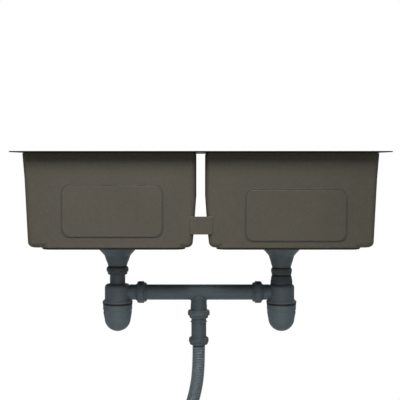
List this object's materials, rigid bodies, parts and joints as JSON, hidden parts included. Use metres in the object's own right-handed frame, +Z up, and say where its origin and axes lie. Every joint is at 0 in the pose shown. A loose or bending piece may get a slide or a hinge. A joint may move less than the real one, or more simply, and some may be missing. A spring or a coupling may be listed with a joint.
{
  "type": "double bowl kitchen sink",
  "caption": "Drop-in kitchen sink with two side-by-side bowls, strainers with lift-out baskets, bottle traps, a cross waste pipe and a corrugated outlet hose.",
  "frame": {"origin": "on the flat underside of the rim, in the middle of the strip between the two bowls", "axes": "+Z up out of the bowls, +X along the two bowls to the right-hand one as pictured, +Y away from the pictured long side"},
  "size_m": [0.86, 0.46, 1.1158],
  "materials": {
    "sink_steel": "dark gunmetal, brushed",
    "sound_coat": "matt taupe grey, fine speckle",
    "damping_pad": "matt",
    "polished_steel": "polished",
    "black_rubber": "matt",
    "pipe_plastic": "satin blue-grey",
    "nut_plastic": "satin, a shade darker",
    "hose_plastic": "satin blue-grey",
    "cuff_rubber": "matt"
  },
  "bodies": {
    "sink": {"bowl_tie_strap": "sound_coat", "drain_hose": "hose_plastic", "hose_adapter": "pipe_plastic", "hose_collar": "pipe_plastic", "hose_end_cuff": "cuff_rubber", "left_body_gasket": "black_rubber", "left_bowl": "sink_steel", "left_inlet_seal": "black_rubber", "left_neck_seal": "black_rubber", "left_outlet_seal": "black_rubber", "left_sound_pads": "damping_pad", "left_strainer_body": "pipe_plastic", "left_strainer_rim": "polished_steel", "left_strainer_seal": "black_rubber", "left_tail_pipe": "pipe_plastic", "left_tail_seal": "black_rubber", "left_trap_body": "pipe_plastic", "left_undercoat": "sound_coat", "right_body_gasket": "black_rubber", "right_bowl": "sink_steel", "right_collar_seal": "black_rubber", "right_inlet_seal": "black_rubber", "right_neck_seal": "black_rubber", "right_outlet_seal": "black_rubber", "right_sound_pads": "damping_pad", "right_strainer_body": "pipe_plastic", "right_strainer_rim": "polished_steel", "right_strainer_seal": "black_rubber", "right_tail_pipe": "pipe_plastic", "right_tail_seal": "black_rubber", "right_trap_body": "pipe_plastic", "right_undercoat": "sound_coat", "rim_deck": "sink_steel", "strainer_screws": "polished_steel", "tee_outlet_seal": "black_rubber", "tee_pipe": "pipe_plastic"},
    "left_basket": {"left_basket": "polished_steel"},
    "left_stopper": {"left_stopper": "black_rubber", "left_stopper_knob": "polished_steel"},
    "left_tail_nut": {"left_tail_nut": "nut_plastic"},
    "left_outlet_nut": {"left_outlet_nut": "nut_plastic"},
    "left_cup_seal": {"left_cup_seal": "black_rubber"},
    "left_trap_cup": {"left_trap_cup": "pipe_plastic"},
    "right_basket": {"right_basket": "polished_steel"},
    "right_stopper": {"right_stopper": "black_rubber", "right_stopper_knob": "polished_steel"},
    "right_tail_nut": {"right_tail_nut": "nut_plastic"},
    "right_outlet_nut": {"right_outlet_nut": "nut_plastic"},
    "right_cup_seal": {"right_cup_seal": "black_rubber"},
    "right_trap_cup": {"right_trap_cup": "pipe_plastic"},
    "right_inlet_collar": {"right_inlet_collar": "nut_plastic"},
    "tee_outlet_nut": {"tee_outlet_nut": "nut_plastic"},
    "hose_nut": {"hose_nut": "nut_plastic"}
  },
  "joints": [
    {"name": "left_basket_lift", "type": "slide", "parent": "sink", "child": "left_basket", "axis": [0, 0, 1], "range_m": [0, 0.3]},
    {"name": "left_stopper_lift", "type": "slide", "parent": "left_basket", "child": "left_stopper", "axis": [0, 0, 1], "range_m": [0, 0.0065]},
    {"name": "left_tail_nut_turn", "type": "hinge", "parent": "sink", "child": "left_tail_nut", "pos_m": [-0.2063, 0, -0.29], "axis": [0, 0, 1], "continuous": true},
    {"name": "left_outlet_nut_turn", "type": "hinge", "parent": "sink", "child": "left_outlet_nut", "pos_m": [-0.1457, 0, -0.3445], "axis": [1, 0, 0], "continuous": true},
    {"name": "left_cup_drop", "type": "slide", "parent": "sink", "child": "left_cup_seal", "axis": [0, 0, -1], "range_m": [0, 0.045]},
    {"name": "left_cup_turn", "type": "hinge", "parent": "left_cup_seal", "child": "left_trap_cup", "pos_m": [-0.2063, 0, -0.395], "axis": [0, 0, 1], "continuous": true},
    {"name": "right_basket_lift", "type": "slide", "parent": "sink", "child": "right_basket", "axis": [0, 0, 1], "range_m": [0, 0.3]},
    {"name": "right_stopper_lift", "type": "slide", "parent": "right_basket", "child": "right_stopper", "axis": [0, 0, 1], "range_m": [0, 0.0065]},
    {"name": "right_tail_nut_turn", "type": "hinge", "parent": "sink", "child": "right_tail_nut", "pos_m": [0.2001, 0, -0.29], "axis": [0, 0, 1], "continuous": true},
    {"name": "right_outlet_nut_turn", "type": "hinge", "parent": "sink", "child": "right_outlet_nut", "pos_m": [0.1395, 0, -0.3445], "axis": [1, 0, 0], "continuous": true},
    {"name": "right_cup_drop", "type": "slide", "parent": "sink", "child": "right_cup_seal", "axis": [0, 0, -1], "range_m": [0, 0.045]},
    {"name": "right_cup_turn", "type": "hinge", "parent": "right_cup_seal", "child": "right_trap_cup", "pos_m": [0.2001, 0, -0.395], "axis": [0, 0, 1], "continuous": true},
    {"name": "right_inlet_collar_turn", "type": "hinge", "parent": "sink", "child": "right_inlet_collar", "pos_m": [0.2001, 0, -0.314], "axis": [0, 0, 1], "continuous": true},
    {"name": "tee_outlet_nut_turn", "type": "hinge", "parent": "sink", "child": "tee_outlet_nut", "pos_m": [-0.0049, 0, -0.397], "axis": [0, 0, 1], "continuous": true},
    {"name": "hose_nut_turn", "type": "hinge", "parent": "sink", "child": "hose_nut", "pos_m": [-0.0049, 0, -0.465], "axis": [0, 0, 1], "continuous": true}
  ]
}
